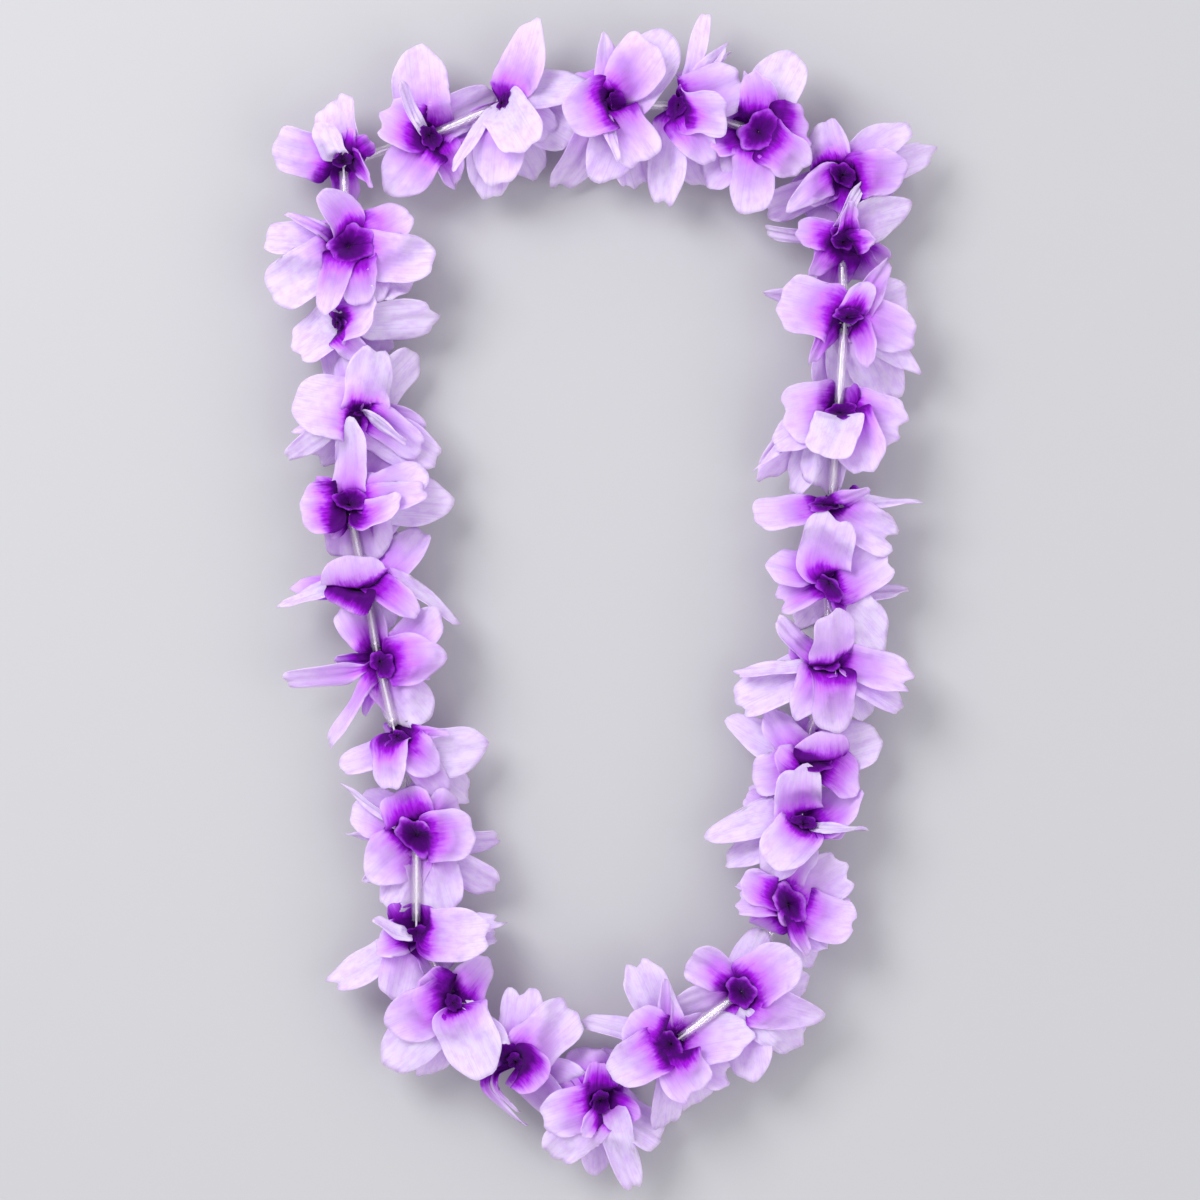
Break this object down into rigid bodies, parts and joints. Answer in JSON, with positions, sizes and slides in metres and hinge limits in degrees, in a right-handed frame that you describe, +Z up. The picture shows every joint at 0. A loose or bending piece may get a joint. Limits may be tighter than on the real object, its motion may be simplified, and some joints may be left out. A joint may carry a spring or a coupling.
{
  "type": "artificial flower lei",
  "caption": "Flower garland worn round the neck: soft two-layer fabric blooms on one knotted thread, kept apart by clear straws, laid flat as a long loop.",
  "frame": {"origin": "middle of the lei's bounding box, at the height of the table it lies on", "axes": "+Z up from the table, +Y along the loop's long axis towards its wide end, +X to the right seen from above"},
  "size_m": [0.2567, 0.453, 0.0439],
  "materials": {
    "blooms": "matt lavender fabric",
    "tubes": "clear glossy plastic",
    "thread": "twisted white cotton"
  },
  "bodies": {
    "root": {"bloom_01": "blooms", "bloom_02": "blooms", "bloom_03": "blooms", "bloom_04": "blooms", "bloom_05": "blooms", "bloom_06": "blooms", "bloom_07": "blooms", "bloom_08": "blooms", "bloom_09": "blooms", "bloom_10": "blooms", "bloom_11": "blooms", "bloom_12": "blooms", "bloom_13": "blooms", "bloom_14": "blooms", "bloom_15": "blooms", "bloom_16": "blooms", "bloom_17": "blooms", "bloom_18": "blooms", "bloom_19": "blooms", "bloom_20": "blooms", "bloom_21": "blooms", "bloom_22": "blooms", "bloom_23": "blooms", "bloom_24": "blooms", "bloom_25": "blooms", "bloom_26": "blooms", "bloom_27": "blooms", "bloom_28": "blooms", "bloom_29": "blooms", "bloom_30": "blooms", "tube_01": "tubes", "tube_02": "tubes", "tube_03": "tubes", "tube_04": "tubes", "tube_05": "tubes", "tube_06": "tubes", "tube_07": "tubes", "tube_08": "tubes", "tube_09": "tubes", "tube_10": "tubes", "tube_11": "tubes", "tube_12": "tubes", "tube_13": "tubes", "tube_15": "tubes", "tube_16": "tubes", "tube_17": "tubes", "tube_18": "tubes", "tube_19": "tubes", "tube_20": "tubes", "tube_21": "tubes", "tube_22": "tubes", "tube_23": "tubes", "tube_24": "tubes", "tube_25": "tubes", "tube_26": "tubes", "tube_27": "tubes", "tube_28": "tubes", "tube_29": "tubes", "tube_30": "tubes", "thread": "thread"}
  },
  "joints": []
}
